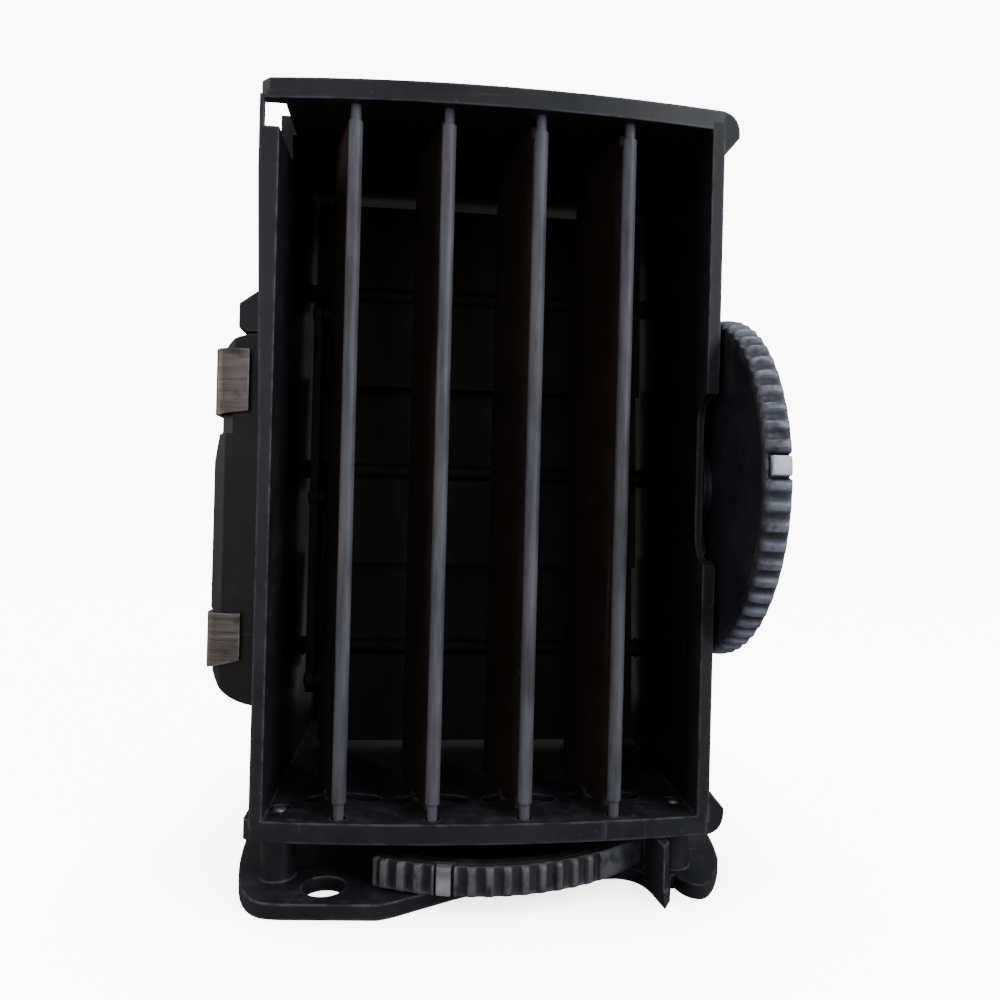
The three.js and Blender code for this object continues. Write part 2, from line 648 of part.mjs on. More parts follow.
function wheelMark() {
  const outer = WHEEL_RADIUS - 0.05;
  const half = WHEEL_MARK_HALF;
  const level = box(WHEEL_MARK_LEFT, WHEEL_OUTER, -outer, -outer + MARK_DEPTH, -half, half);
  return level.rotate([-WHEEL_MARK_LIFT, 0, 0]);
}

function wheelWasher() {
  return cut(
    postX(0, 0, 4.3, AXLE_END + GAP, AXLE_END + 0.8, 28),
    postX(0, 0, 1.3, AXLE_END, AXLE_END + 2, 16),
  );
}

function wheelScrew() {
  const head = AXLE_END + 0.8 + GAP;
  return cut(
    join(postX(0, 0, 3, head, head + 1.2, 24), postX(0, 0, 0.9, INNER_RIGHT + 1, head + 0.5, 12)),
    box(head + 0.7, head + 2, -0.4, 0.4, -1.8, 1.8),
    box(head + 0.7, head + 2, -1.8, 1.8, -0.4, 0.4),
  );
}

// ---- shut-off vanes -----------------------------------------------------------------------------
// Built level about the shaft; the left front corner is cut away for the link bar.
const VANE_LEFT = INNER_LEFT + 0.8;
const VANE_RIGHT = INNER_RIGHT - 0.8;
const LINK_X0 = VANE_LEFT + 0.5;
const LINK_X1 = LINK_X0 + 1.3;
const ARM_ANGLE = 180 + VANE_MID - VANE_SHUT; // level vane's crank, from +Y towards +Z

function vaneBlade() {
  const edge = 0.35;
  const half = VANE_THICK / 2;
  const profile = polygon([
    [-VANE_HALF_CHORD, -edge],
    [-2, -half],
    [2, -half],
    [VANE_HALF_CHORD, -edge],
    [VANE_HALF_CHORD, edge],
    [2, half],
    [-2, half],
    [-VANE_HALF_CHORD, edge],
  ]);
  const corner = box(VANE_LEFT - 1, LINK_X1 + GAP, -VANE_HALF_CHORD - 1, -3.4, -2, 2);
  return cut(slabX(profile, VANE_LEFT, VANE_RIGHT), corner);
}

function vaneArm() {
  const [y, z] = backPolar(VANE_CRANK, ARM_ANGLE);
  return join(
    slabX(slot(0, 0, y, z, 1.5), LINK_X1 + GAP, LINK_X1 + GAP + 1.3),
    postX(y, z, 1, LINK_X0 - 0.3, LINK_X1 + GAP + 0.5, 14),
  );
}

function vane(driven) {
  const body = join(
    vaneBlade(),
    vaneArm(),
    postX(0, 0, VANE_SHAFT_RADIUS, DUCT_LEFT + 0.2, DUCT_RIGHT - (driven ? 0.9 : 0.2), 16),
  );
  return driven ? join(body, box(DUCT_RIGHT - 2, GEAR_FACE + GEAR_THICK, -0.9, 0.9, -0.9, 0.9)) : body;
}

function vaneGear() {
  const inner = GEAR_RADIUS - GEAR_DEDENDUM;
  const reach = 3 * GEAR_STEP + 6;
  const edge = arcPoints(inner, VANE_GEAR_CENTRE - reach, VANE_GEAR_CENTRE + reach, 16, backPolar);
  const fan = polygon([[0, 0], ...edge]);
  const x1 = GEAR_FACE + GEAR_THICK;
  let body = join(slabX(fan, GEAR_FACE, x1), postX(0, 0, 3.4, GEAR_FACE, x1, 24));
  for (let n = -3; n <= 3; n += 1) {
    body = join(body, slabX(gearTooth(VANE_GEAR_CENTRE + n * GEAR_STEP), GEAR_FACE, x1));
  }
  const square = box(GEAR_FACE - 1, x1 + 1, -0.9 - GAP, 0.9 + GAP, -0.9 - GAP, 0.9 + GAP);
  return cut(body, square.rotate([VANE_SHUT, 0, 0]));
}

function vaneLinkBar() {
  const [y, z] = backPolar(VANE_CRANK, ARM_ANGLE + VANE_SHUT);
  const half = 1.2;
  let bar = slabX(slot(y, z - VANE_PITCH, y, z + VANE_PITCH, half), LINK_X0, LINK_X1);
  for (const k of [-1, 0, 1]) {
    bar = join(bar, postX(y, z + vaneZ(k), 2.1, LINK_X0, LINK_X1, 20));
  }
  for (const k of [-1, 0, 1]) {
    bar = cut(bar, postX(y, z + vaneZ(k), 1 + GAP, LINK_X0 - 1, LINK_X1 + 1, 16));
  }
  return bar;
}

// ---- side rail and clips ------------------------------------------------------------------------
const RAIL_OUTER = -38.5;
const RAIL_SEAT = -37.9; // floor of the lower clip's recess
const RAIL_UPPER_OUTER = -37.5;
const RAIL_STEP = 3;
const UPPER_CLIP = [6.6, 16];
const LOWER_CLIP = [-29.3, -21.5];

function railFront() {
  const shape = new THREE.Shape();
  shape.moveTo(DUCT_LEFT - GAP, RAIL_BOTTOM);
  shape.quadraticCurveTo(RAIL_OUTER + 0.4, RAIL_BOTTOM + 0.4, RAIL_OUTER, RAIL_BOTTOM + 8);
  shape.lineTo(RAIL_OUTER, RAIL_STEP - 3);
  shape.lineTo(RAIL_UPPER_OUTER, RAIL_STEP + 2);
  shape.lineTo(RAIL_UPPER_OUTER, RAIL_TOP - 2.8);
  shape.quadraticCurveTo(RAIL_UPPER_OUTER + 0.3, RAIL_TOP - 0.4, RAIL_UPPER_OUTER + 4, RAIL_TOP + 0.3);
  shape.lineTo(DUCT_LEFT - GAP, RAIL_TOP + 0.6);
  return shape;
}

function railSection(outerX) {
  return polygon([
    [DUCT_LEFT - GAP + 1, RAIL_FRONT],
    [outerX + 1.8, RAIL_FRONT],
    [outerX, RAIL_FRONT + 1.8],
    [outerX, RAIL_BACK - 3],
    [outerX + 3, RAIL_BACK],
    [DUCT_LEFT - GAP + 1, RAIL_BACK],
  ]);
}

function sideRail() {
  const sections = join(
    slabZ(railSection(RAIL_OUTER), RAIL_BOTTOM - 1, RAIL_STEP + 1),
    slabZ(railSection(RAIL_UPPER_OUTER), RAIL_STEP, RAIL_TOP + 2),
  );
  const [low, high] = LOWER_CLIP;
  const recess = box(
    RAIL_OUTER - 1, RAIL_SEAT, RAIL_FRONT - 1, RAIL_FRONT + 11.5, low - GAP, high + GAP,
  );
  const blank = slabY(railFront(), RAIL_FRONT - 1, RAIL_BACK + 1).intersect(sections);
  let body = cut(blank, recess);
  for (const z of railScrews) {
    body = cut(
      body,
      postX(RAIL_SCREW_Y, z, SCREW_RADIUS + GAP, RAIL_OUTER - 1, DUCT_LEFT, 14),
      postX(RAIL_SCREW_Y, z, 2.9, RAIL_OUTER - 1, RAIL_SEAT + 2.4, 20),
    );
  }
  return body;
}

function railScrew() {
  const seat = RAIL_SEAT + 2.4 - GAP;
  return cut(
    join(
      postX(0, 0, 2.4, seat - 1.3, seat, 20),
      postX(0, 0, SCREW_RADIUS, seat - 0.5, INNER_LEFT - 0.2, 12),
    ),
    box(seat - 2, seat - 0.8, -0.4, 0.4, -1.5, 1.5),
    box(seat - 2, seat - 0.8, -1.5, 1.5, -0.4, 0.4),
  );
}

// Bent strip: a front leaf, a bend round the rail's outer corner and a side leaf with a sprung barb.
function clipSection(outerX) {
  const front = RAIL_FRONT - GAP - CLIP_SHEET;
  const side = outerX - GAP - CLIP_SHEET;
  const t = CLIP_SHEET;
  return polygon([
    [side + 5, front],
    [side + 1.9, front],
    [side + 0.6, front + 0.7],
    [side, front + 2.2],
    [side, front + 8.5],
    [side - 0.9, front + 10.5],
    [side - 0.9 + t, front + 11],
    [side + t, front + 8.7],
    [side + t, front + 2.4],
    [side + t + 0.5, front + t + 0.6],
    [side + 2.1, front + t],
    [side + 5, front + t],
  ]);
}

function clip(outerX, [bottom, top], slant) {
  const strip = slabZ(clipSection(outerX), bottom, top);
  const wedge = polygon([
    [outerX - 5, bottom - 1],
    [outerX + 8, bottom - 1],
    [outerX + 8, bottom + slant],
    [outerX - 0.6, bottom],
    [outerX - 5, bottom],
  ]);
  return cut(strip, slabY(wedge, RAIL_FRONT - 5, RAIL_FRONT + 0.4));
}

// ---- assembly -----------------------------------------------------------------------------------
place("housing", housing(), plastic);
place("rear_collar", rearCollar(), plastic);
place("foam_seal", foamSeal(), foam, 0.95);
place("lower_bracket", lowerBracket(), plastic);
bracketPosts.forEach(([x, y], n) => {
  place(`bracket_screw_${n + 1}`, bracketScrew(), steel, 0.35, 1).position.set(x, y, 0);
});
place("side_rail", sideRail(), plastic);
railScrews.forEach((z, n) => {
  place(`rail_screw_${n + 1}`, railScrew(), steel, 0.35, 1).position.set(0, RAIL_SCREW_Y, z);
});
place("spring_clip_upper", clip(RAIL_UPPER_OUTER, UPPER_CLIP, 1.2), clipMetal, 0.45, 0.8);
place("spring_clip_lower", clip(RAIL_SEAT, LOWER_CLIP, 2.2), clipMetal, 0.45, 0.8);

for (let i = 0; i < FIN_COUNT; i += 1) {
  const blade = place(`fin_${i + 1}`, fin(), moving);
  blade.position.set(finX(i), finY(i), 0);
  blade.rotation.z = rad(FIN_REST);
}
place("fin_link_bar", finLinkBar(), moving);

const sector = [
  place("thumb_sector", thumbSector(), moving),
  place("sector_index_mark", sectorMark(), markWhite, 0.4),
];
for (const piece of sector) {
  piece.position.set(SECTOR_X, SECTOR_Y, 0);
  piece.rotation.z = rad(SECTOR_REST);
}
place("sector_pivot_pin", sectorPivotPin(), steel, 0.35, 1).position.set(SECTOR_X, SECTOR_Y, 0);
place("sector_clip", sectorClip(), steel, 0.35, 1).position.set(SECTOR_X, SECTOR_Y, 0);

place("thumbwheel", thumbwheel(), moving).position.set(0, WHEEL_Y, WHEEL_Z);
place("wheel_index_mark", wheelMark(), markWhite, 0.4).position.set(0, WHEEL_Y, WHEEL_Z);
place("wheel_washer", wheelWasher(), steel, 0.35, 1).position.set(0, WHEEL_Y, WHEEL_Z);
place("wheel_screw", wheelScrew(), steel, 0.35, 1).position.set(0, WHEEL_Y, WHEEL_Z);

const vaneNames = { 1: "rear_vane_top", 0: "rear_vane_middle", "-1": "rear_vane_bottom" };
for (const k of [1, 0, -1]) {
  const blade = place(vaneNames[k], vane(k === 0), moving);
  blade.position.set(0, VANE_Y, vaneZ(k));
  blade.rotation.x = rad(VANE_SHUT);
}
place("vane_gear", vaneGear(), moving).position.y = VANE_Y;
place("vane_link_bar", vaneLinkBar(), moving).position.y = VANE_Y;

vent.updateMatrixWorld(true);
const bounds = new THREE.Box3().setFromObject(vent, true);
const middle = bounds.getCenter(new THREE.Vector3());
vent.position.set(-middle.x, -middle.y, -bounds.min.z);
export default vent;
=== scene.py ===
import json
import math

import bmesh
import bpy
from mathutils import Matrix, Vector
from mathutils.noise import noise as mathutils_noise


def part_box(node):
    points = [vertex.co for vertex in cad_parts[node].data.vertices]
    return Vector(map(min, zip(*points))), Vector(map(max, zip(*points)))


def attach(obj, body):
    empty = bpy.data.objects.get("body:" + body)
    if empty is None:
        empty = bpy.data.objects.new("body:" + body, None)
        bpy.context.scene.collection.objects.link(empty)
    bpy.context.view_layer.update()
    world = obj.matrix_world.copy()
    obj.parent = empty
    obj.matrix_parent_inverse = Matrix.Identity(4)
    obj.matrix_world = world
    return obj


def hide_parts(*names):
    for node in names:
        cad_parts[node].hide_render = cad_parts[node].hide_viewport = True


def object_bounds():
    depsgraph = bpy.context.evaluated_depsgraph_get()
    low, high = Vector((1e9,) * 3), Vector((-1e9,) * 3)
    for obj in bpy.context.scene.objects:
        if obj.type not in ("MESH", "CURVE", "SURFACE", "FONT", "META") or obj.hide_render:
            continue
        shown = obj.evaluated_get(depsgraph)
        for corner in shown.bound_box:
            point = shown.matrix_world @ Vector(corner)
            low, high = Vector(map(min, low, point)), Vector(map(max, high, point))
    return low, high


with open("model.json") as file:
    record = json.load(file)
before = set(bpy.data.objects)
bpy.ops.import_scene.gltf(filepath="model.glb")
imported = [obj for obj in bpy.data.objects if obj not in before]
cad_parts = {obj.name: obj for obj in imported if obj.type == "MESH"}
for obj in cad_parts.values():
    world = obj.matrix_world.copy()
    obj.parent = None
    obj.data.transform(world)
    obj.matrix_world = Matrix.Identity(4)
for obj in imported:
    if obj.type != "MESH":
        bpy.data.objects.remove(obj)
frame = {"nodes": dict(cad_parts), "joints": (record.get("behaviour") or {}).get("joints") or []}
cad_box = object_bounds()

# ---- duct housing -------------------------------------------------------------------------------
# One injection moulding in black ABS: four walls, bowed lips at the mouth and bearing holes for the
# fins and vanes. Its corners are eased by the tool, rubbed grey by hands and dusted in the duct.
MM = 0.001
EDGE_EASE = 0.15 * MM
SHARP = math.radians(32)
SHADED_ROUND = 0.25 * MM
PLASTIC_SPECKS = 0.5
PLASTIC_SHINE = 0.32
GRAIN_STRENGTH = 0.10


def node_group(name, inputs, outputs):
    """An empty shader group with the given sockets; returns the group, its input and its output node."""
    group = bpy.data.node_groups.new(name, "ShaderNodeTree")
    for label, kind, start in inputs:
        socket = group.interface.new_socket(label, in_out="INPUT", socket_type="NodeSocket" + kind)
        if start is not None:
            socket.default_value = start
    for label, kind in outputs:
        group.interface.new_socket(label, in_out="OUTPUT", socket_type="NodeSocket" + kind)
    return group, group.nodes.new("NodeGroupInput"), group.nodes.new("NodeGroupOutput")


def add_node(tree, kind, settings=None, **inputs):
    """A node with its settings and its inputs, each a constant or another node's socket."""
    node = tree.nodes.new("ShaderNode" + kind)
    for key, value in (settings or {}).items():
        setattr(node, key, value)
    for key, value in inputs.items():
        label = key.replace("_", " ")
        by_number = key[0] == "i" and key[1:].isdigit()
        socket = node.inputs[int(key[1:])] if by_number else node.inputs[label]
        if isinstance(value, bpy.types.NodeSocket):
            tree.links.new(value, socket)
        else:
            socket.default_value = value
    return node


def maths(tree, operation, a, b=0.0, clamp=False):
    """The result socket of one Math node."""
    return add_node(tree, "Math", {"operation": operation, "use_clamp": clamp}, i0=a, i1=b).outputs[0]


def ramp(tree, value, low, high):
    """A smooth step from 0 at low to 1 at high."""
    settings = {"interpolation_type": "SMOOTHSTEP"}
    node = add_node(tree, "MapRange", settings, Value=value, From_Min=low, From_Max=high)
    return node.outputs["Result"]


def place_of(tree, scale=(1, 1, 1)):
    """Coordinates fixed to the piece, in metres times scale."""
    coords = add_node(tree, "TexCoord").outputs["Object"]
    return add_node(tree, "Mapping", Vector=coords, Scale=scale).outputs["Vector"]


def noise(tree, scale, detail=4.0, stretch=(1, 1, 1), roughness=0.6):
    node = add_node(
        tree, "TexNoise", Vector=place_of(tree, stretch), Scale=scale, Detail=detail, Roughness=roughness
    )
    return node.outputs["Fac"]


def rubbed_edge_group():
    """Mask of the corners that hands and tools rub: where a rounded normal leaves the flat one."""
    group, start, end = node_group(
        "Rubbed edges",
        [("Width", "Float", 0.0006), ("Amount", "Float", 1.0), ("Breakup", "Float", 400.0)],
        [("Mask", "Float")],
    )
    flat = add_node(group, "NewGeometry").outputs["Normal"]
    rounded = add_node(group, "Bevel", {"samples": 4}, Radius=start.outputs["Width"]).outputs["Normal"]
    same = add_node(group, "VectorMath", {"operation": "DOT_PRODUCT"}, i0=flat, i1=rounded).outputs["Value"]
    bend = ramp(group, maths(group, "SUBTRACT", 1.0, same), 0.01, 0.16)
    patchy = add_node(
        group, "TexNoise", Vector=place_of(group), Scale=start.outputs["Breakup"], Detail=5.0
    ).outputs["Fac"]
    worn = maths(group, "MULTIPLY", bend, ramp(group, patchy, 0.34, 0.62))
    group.links.new(maths(group, "MULTIPLY", worn, start.outputs["Amount"], clamp=True), end.inputs["Mask"])
    return group


def settled_dust_group():
    """Mask of the dust that lies on upward faces, clings in patches and sits as single specks."""
    group, start, end = node_group(
        "Settled dust",
        [("Film", "Float", 0.3), ("Specks", "Float", 0.5), ("Size", "Float", 260.0)],
        [("Mask", "Float")],
    )
    normal = add_node(group, "NewGeometry").outputs["Normal"]
    up = add_node(group, "SeparateXYZ", Vector=normal).outputs["Z"]
    lying = maths(group, "ADD", maths(group, "MULTIPLY", ramp(group, up, 0.1, 1.0), 0.75), 0.25)
    cloud = add_node(
        group, "TexNoise", Vector=place_of(group), Scale=start.outputs["Size"], Detail=6.0, Roughness=0.7
    ).outputs["Fac"]
    film = maths(group, "MULTIPLY", ramp(group, cloud, 0.42, 0.78), lying)
    film = maths(group, "MULTIPLY", film, start.outputs["Film"])
    cells = add_node(group, "TexVoronoi", Vector=place_of(group), Scale=900.0)
    dot = maths(group, "SUBTRACT", 1.0, ramp(group, cells.outputs["Distance"], 0.05, 0.16))
    chosen = add_node(group, "SeparateColor", Color=cells.outputs["Color"]).outputs["Red"]
    speck = maths(group, "MULTIPLY", dot, ramp(group, chosen, 0.86, 0.94))
    speck = maths(group, "MULTIPLY", speck, start.outputs["Specks"])
    group.links.new(maths(group, "ADD", film, speck, clamp=True), end.inputs["Mask"])
    return group


def moulded_grain_group():
    """Height of the fine spark-eroded grain that the mould leaves, with a slow flow waviness under it."""
    group, start, end = node_group(
        "Moulded grain", [("Fineness", "Float", 2600.0), ("Flow", "Float", 0.25)], [("Height", "Float")]
    )
    fine = add_node(
        group, "TexNoise", Vector=place_of(group), Scale=start.outputs["Fineness"], Detail=3.0
    ).outputs["Fac"]
    slow = noise(group, 55.0, 2.0)
    waves = maths(group, "MULTIPLY", slow, start.outputs["Flow"])
    group.links.new(maths(group, "ADD", fine, waves), end.inputs["Height"])
    return group


def scuff_group():
    """Mask of short handling scuffs: thin streaks in two directions, broken up by a slow cloud."""
    group, start, end = node_group("Handling scuffs", [("Amount", "Float", 0.5)], [("Mask", "Float")])
    along = ramp(group, noise(group, 420.0, 3.0, (1, 1, 0.06)), 0.64, 0.72)
    across = ramp(group, noise(group, 380.0, 3.0, (0.08, 1, 1)), 0.66, 0.74)
    both = maths(group, "MAXIMUM", along, across)
    cloud = ramp(group, noise(group, 60.0, 3.0), 0.42, 0.62)
    scuffs = maths(group, "MULTIPLY", both, cloud)
    group.links.new(maths(group, "MULTIPLY", scuffs, start.outputs["Amount"], clamp=True), end.inputs["Mask"])
    return group


RUBBED = rubbed_edge_group()
DUST = settled_dust_group()
GRAIN = moulded_grain_group()
SCUFFS = scuff_group()


def use_group(tree, group, **inputs):
    node = tree.nodes.new("ShaderNodeGroup")
    node.node_tree = group
    for key, value in inputs.items():
        node.inputs[key].default_value = value
    return node.outputs[0]


def mix_colour(tree, mask, under, over):
    node = add_node(tree, "Mix", {"data_type": "RGBA"}, Factor=mask)
    for index, value in ((6, under), (7, over)):
        if isinstance(value, bpy.types.NodeSocket):
            tree.links.new(value, node.inputs[index])
        else:
            node.inputs[index].default_value = (*value, 1)
    return node.outputs[2]


def mix_value(tree, mask, under, over):
    return add_node(tree, "Mix", {"data_type": "FLOAT"}, i0=mask, i2=under, i3=over).outputs[0]


def new_material(name):
    """An empty material; returns it, its node tree and its Principled BSDF."""
    material = bpy.data.materials.new(name)
    material.use_nodes = True
    tree = material.node_tree
    return material, tree, tree.nodes["Principled BSDF"]


def plastic(name, colour, rubbed, dust, rough=0.46, rub=0.8, film=0.3, scuffs=0.4):
    """Moulded black plastic: grain, patchy gloss, rubbed corners, scuffs and settled dust."""
    material, tree, shader = new_material(name)
    shade = ramp(tree, noise(tree, 90.0, 5.0), 0.3, 0.75)
    body = mix_colour(tree, shade, [c * 0.75 for c in colour], [c * 1.3 for c in colour])
    corner = use_group(tree, RUBBED, Amount=rub)
    scuff = use_group(tree, SCUFFS, Amount=scuffs)
    worn = mix_colour(tree, maths(tree, "MAXIMUM", corner, scuff), body, rubbed)
    dirt = use_group(tree, DUST, Film=film, Specks=PLASTIC_SPECKS)
    tree.links.new(mix_colour(tree, dirt, worn, dust), shader.inputs["Base Color"])
    gloss = mix_value(tree, shade, rough - 0.06, rough + 0.08)
    gloss = mix_value(tree, corner, gloss, rough - 0.12)
    tree.links.new(mix_value(tree, dirt, gloss, 0.9), shader.inputs["Roughness"])
    shader.inputs["Specular IOR Level"].default_value = PLASTIC_SHINE
    height = use_group(tree, GRAIN)
    eased = add_node(tree, "Bevel", {"samples": 4}, Radius=SHADED_ROUND).outputs["Normal"]
    bump = add_node(tree, "Bump", Strength=GRAIN_STRENGTH, Distance=0.0002, Height=height, Normal=eased)
    tree.links.new(bump.outputs["Normal"], shader.inputs["Normal"])
    return material


def dress(obj, material):
    """Gives an object one material and smooth faces."""
    obj.data.materials.clear()
    obj.data.materials.append(material)
    for face in obj.data.polygons:
        face.use_smooth = True


def ease_edges(obj, width=EDGE_EASE, segments=2):
    """Rounds the sharp edges, as the mould does. Width 0 keeps crisp edges with clean flat faces."""
    joined = obj.modifiers.new("joined corners", "WELD")
    joined.merge_threshold = 0.01 * MM
    flat = obj.modifiers.new("flat faces", "DECIMATE")
    flat.decimate_type = "DISSOLVE"
    flat.angle_limit = math.radians(0.1)
    if width:
        ease = obj.modifiers.new("eased edges", "BEVEL")
        ease.width = width
        ease.segments = segments
        ease.limit_method = "ANGLE"
        ease.angle_limit = SHARP
        ease.use_clamp_overlap = False
    else:
        crisp = obj.modifiers.new("crisp edges", "EDGE_SPLIT")
        crisp.split_angle = SHARP
    even = obj.modifiers.new("even shading", "WEIGHTED_NORMAL")
    even.keep_sharp = True


def keep_node(name, material, width=EDGE_EASE, segments=2):
    """A CAD node whose shape is right: eased edges and a real finish."""
    obj = frame["nodes"][name]
    dress(obj, material)
    ease_edges(obj, width, segments)
    return obj


BLACK = (0.0122, 0.0120, 0.0160)
RUBBED_GREY = (0.105, 0.115, 0.140)
HOUSE_DUST = (0.115, 0.100, 0.090)
housing_plastic = plastic("housing_plastic", BLACK, RUBBED_GREY, HOUSE_DUST)
keep_node("housing", housing_plastic, 0)

# ---- rear collar and foam seal ------------------------------------------------------------------
# The collar is a thin moulded frame that plugs into the car's duct. A ring of soft open-cell foam
# is stuck round it and is squeezed when the vent is pushed home.
collar_plastic = plastic("collar_plastic", BLACK, RUBBED_GREY, HOUSE_DUST, rough=0.52, film=0.45)
keep_node("rear_collar", collar_plastic)


def foam_finish():
    """Dark grey open-cell foam: pores of two sizes and a dusty skin."""
    material, tree, shader = new_material("seal_foam")
    pores = add_node(tree, "TexVoronoi", Vector=place_of(tree), Scale=2100.0).outputs["Distance"]
    cloud = noise(tree, 300.0, 4.0)
    tone = ramp(tree, maths(tree, "ADD", pores, maths(tree, "MULTIPLY", cloud, 0.4)), 0.2, 0.8)
    body = mix_colour(tree, tone, (0.012, 0.012, 0.013), (0.040, 0.039, 0.041))
    dirt = use_group(tree, DUST, Film=0.5, Specks=0.3)
    tree.links.new(mix_colour(tree, dirt, body, HOUSE_DUST), shader.inputs["Base Color"])
    shader.inputs["Roughness"].default_value = 0.95
    shader.inputs["Specular IOR Level"].default_value = 0.15
    bump = add_node(tree, "Bump", Strength=0.9, Distance=0.0006, Height=tone)
    tree.links.new(bump.outputs["Normal"], shader.inputs["Normal"])
    return material


def swept(name, rings, material, closed_rings=False, closed_loop=True, sharp=40):
    """A closed mesh through rings of points: capped at its ends, or joined to its own start."""
    shape = bmesh.new()
    rows = [[shape.verts.new(point) for point in ring] for ring in rings]
    pairs = list(zip(rows, rows[1:] + ([rows[0]] if closed_rings else [])))
    count = len(rows[0])
    for one, two in pairs:
        for n in range(count if closed_loop else count - 1):
            m = (n + 1) % count
            shape.faces.new((one[n], one[m], two[m], two[n]))
    if not closed_rings:
        shape.faces.new(rows[0])
        shape.faces.new(rows[-1])
    bmesh.ops.remove_doubles(shape, verts=shape.verts, dist=1e-7)
    bmesh.ops.recalc_face_normals(shape, faces=shape.faces)
    mesh = bpy.data.meshes.new(name)
    shape.to_mesh(mesh)
    shape.free()
    obj = bpy.data.objects.new(name, mesh)
    bpy.context.collection.objects.link(obj)
    dress(obj, material)
    mesh.set_sharp_from_angle(angle=math.radians(sharp))
    return obj


def foam_ring():
    """A glued strip of foam: flat inside, domed and pocked outside, butted together under the duct."""
    low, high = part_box("foam_seal")
    thick = 2.15 * MM
    corner = 0.5 * MM
    left, right = low[0] + thick, high[0] - thick
    bottom, top = low[2] + thick, high[2] - thick
    section = [(0, 0), (0.55, 0), (0.86, 0.06), (0.97, 0.17), (1, 0.34), (0.985, 0.5), (1, 0.66)]
    section += [(0.97, 0.83), (0.86, 0.94), (0.55, 1), (0, 1)]
    corners = [(right, bottom), (right, top), (left, top), (left, bottom)]
    inward = [(-1, 1), (-1, -1), (1, -1), (1, 1)]
    path = []
    middle_x = (left + right) / 2
    before = (middle_x, bottom)
    for n in range(4):
        (x, z), (sx, sz) = corners[n], inward[n]
        hub = (x + sx * corner, z + sz * corner)
        start_angle = math.radians(-90 + 90 * n)
        first = (hub[0] + corner * math.cos(start_angle), hub[1] + corner * math.sin(start_angle))
        steps = max(2, round(math.dist(before, first) / MM))
        out = (math.cos(start_angle), math.sin(start_angle))
        for i in range(steps):
            path.append((*(before[k] + (first[k] - before[k]) * i / steps for k in (0, 1)), *out))
        for i in range(5):
            turn = start_angle + math.radians(90) * i / 4
            out = (math.cos(turn), math.sin(turn))
            path.append((hub[0] + corner * out[0], hub[1] + corner * out[1], *out))
        before = (path[-1][0], path[-1][1])
    steps = round((middle_x - before[0]) / MM)
    path += [(before[0] + (middle_x - before[0]) * i / steps, bottom, 0, -1) for i in range(1, steps)]
    rings = []
    for x, z, out_x, out_z in path:
        joint = 0.45 * math.exp(-(((x - middle_x) / (0.9 * MM)) ** 2)) if out_z < -0.9 else 0
        ring = []
        for height, along in section:
            y = low[1] + (high[1] - low[1]) * (0.02 + 0.96 * along)
            spot = Vector((x, y, z))
            pock = mathutils_noise(spot * 900) * 0.07 + mathutils_noise(spot * 260) * 0.05
            rise = thick * max(0.02, height * (0.93 + min(0.06, pock) - joint))
            ring.append((x + out_x * rise, y, z + out_z * rise))
        rings.append(ring)
    foam = swept("foam_seal_strip", rings, foam_finish(), closed_rings=True)
    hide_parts("foam_seal")
    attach(foam, "duct")


foam_ring()

# ---- lower bracket ------------------------------------------------------------------------------
# A flat moulded plate on four posts, in the same black plastic, with a round-ended tab for the fixing
# screw and a forked ear. Four screws come up through it into the duct; tools have rubbed its edges.
bracket_plastic = plastic(
    "bracket_plastic", BLACK, RUBBED_GREY, HOUSE_DUST, rough=0.42, rub=1.0, scuffs=0.6
)
keep_node("lower_bracket", bracket_plastic, 0)

# ---- side rail ----------------------------------------------------------------------------------
# A moulded block in brownish black plastic, screwed to the left wall with two screws in deep
# counterbores. Its outer face locates the vent and carries the two spring clips.
RAIL_BROWN = (0.017, 0.0135, 0.014)
RAIL_RUBBED = (0.08, 0.075, 0.08)
rail_plastic = plastic("rail_plastic", RAIL_BROWN, RAIL_RUBBED, HOUSE_DUST, rough=0.5, film=0.5)
keep_node("side_rail", rail_plastic, 0.2 * MM, 3)

# ---- spring clips -------------------------------------------------------------------------------
# Two strips of browned spring steel, stamped and bent round the rail's front corner. Their sprung
# barbs grip the edge of the opening that the vent is pushed into.


def spring_steel():
    """Browned sheet steel: drawn streaks along the strip, rust freckles and bright rubbed corners."""
    material, tree, shader = new_material("spring_steel")
    streak = ramp(tree, noise(tree, 1400.0, 4.0, (0.06, 0.06, 1)), 0.3, 0.75)
    body = mix_colour(tree, streak, (0.120, 0.104, 0.090), (0.205, 0.182, 0.160))
    stain = ramp(tree, noise(tree, 240.0, 6.0), 0.5, 0.72)
    aged = mix_colour(tree, stain, body, (0.085, 0.062, 0.048))
    corner = use_group(tree, RUBBED, Amount=0.7)
    tree.links.new(mix_colour(tree, corner, aged, (0.42, 0.37, 0.32)), shader.inputs["Base Color"])
    tree.links.new(mix_value(tree, stain, 0.42, 0.75), shader.inputs["Roughness"])
    tree.links.new(mix_value(tree, stain, 0.75, 0.25), shader.inputs["Metallic"])
    bump = add_node(tree, "Bump", Strength=0.25, Distance=0.0002, Height=streak)
    tree.links.new(bump.outputs["Normal"], shader.inputs["Normal"])
    return material


clip_steel = spring_steel()
for name in ("spring_clip_upper", "spring_clip_lower"):
    keep_node(name, clip_steel, 0)

# ---- fixing screws and pins ---------------------------------------------------------------------
# Zinc-plated steel: four countersunk screws under the bracket, two in the rail, the wheel's screw
# and washer, and the sector's shoulder pin with its push-on ring.


